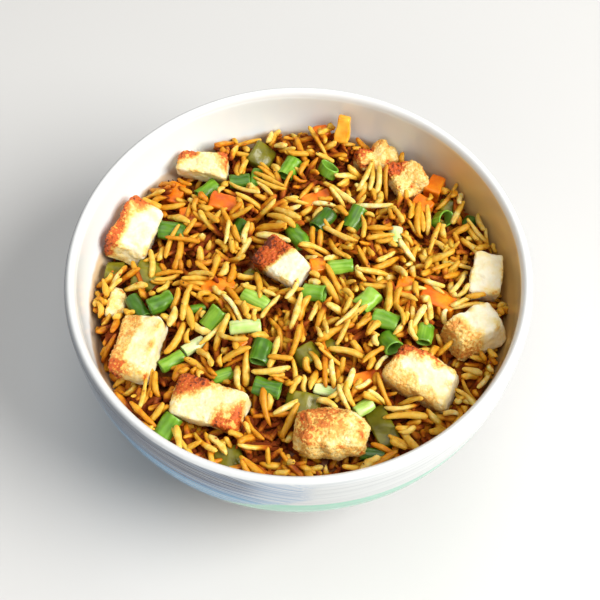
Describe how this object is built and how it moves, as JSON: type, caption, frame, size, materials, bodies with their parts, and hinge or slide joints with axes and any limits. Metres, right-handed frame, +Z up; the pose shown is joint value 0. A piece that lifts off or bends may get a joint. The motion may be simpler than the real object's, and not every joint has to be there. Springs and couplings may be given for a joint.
{
  "type": "bowl of vegetable fried rice",
  "caption": "Round glazed bowl filled with long-grain vegetable fried rice, topped with fried cheese cubes, carrot, green pepper and sliced spring onion.",
  "frame": {"origin": "centre of the bowl's foot ring, on the surface that it stands on", "axes": "+Z up, +X to the right and -Y towards the viewer of the picture"},
  "size_m": [0.16, 0.16, 0.068],
  "materials": {
    "glaze": "gloss",
    "rice": "satin",
    "cheese": "satin",
    "carrot": "satin",
    "pepper": "satin",
    "onion": "satin"
  },
  "bodies": {
    "root": {"bowl": "glaze", "rice_heap": "rice", "cheese_back_left": "cheese", "cheese_left_upper": "cheese", "cheese_left_lower": "cheese", "cheese_front_left": "cheese", "cheese_centre": "cheese", "cheese_back_right": "cheese", "cheese_back_right_small": "cheese", "cheese_right_upper": "cheese", "cheese_right_lower": "cheese", "cheese_front_right": "cheese", "cheese_front": "cheese", "cheese_flake": "cheese", "carrot_back": "carrot", "carrot_left_outer": "carrot", "carrot_left_inner": "carrot", "carrot_middle_left": "carrot", "carrot_back_right_outer": "carrot", "carrot_back_right_inner": "carrot", "carrot_right": "carrot", "carrot_right_inner": "carrot", "carrot_centre": "carrot", "carrot_left_lower": "carrot", "carrot_middle_back": "carrot", "carrot_front": "carrot", "pepper_back": "pepper", "pepper_left": "pepper", "pepper_left_edge": "pepper", "pepper_centre": "pepper", "pepper_front_left": "pepper", "pepper_front": "pepper", "pepper_right": "pepper", "pepper_front_right": "pepper", "onion_back_left": "onion", "onion_back_dark": "onion", "onion_back": "onion", "onion_back_hoop": "onion", "onion_left_large": "onion", "onion_centre_dark": "onion", "onion_middle_back": "onion", "onion_middle_open": "onion", "onion_pale_right": "onion", "onion_right_hoop": "onion", "onion_centre_right": "onion", "onion_centre_open": "onion", "onion_centre_left": "onion", "onion_left_dark": "onion", "onion_left_square": "onion", "onion_middle_left_open": "onion", "onion_striped": "onion", "onion_slice_green": "onion", "onion_slice_pale": "onion", "onion_front_upper": "onion", "onion_front_middle": "onion", "onion_front_left": "onion", "onion_right_pale": "onion", "onion_right_green": "onion", "onion_right_open": "onion", "onion_right_small": "onion"}
  },
  "joints": []
}
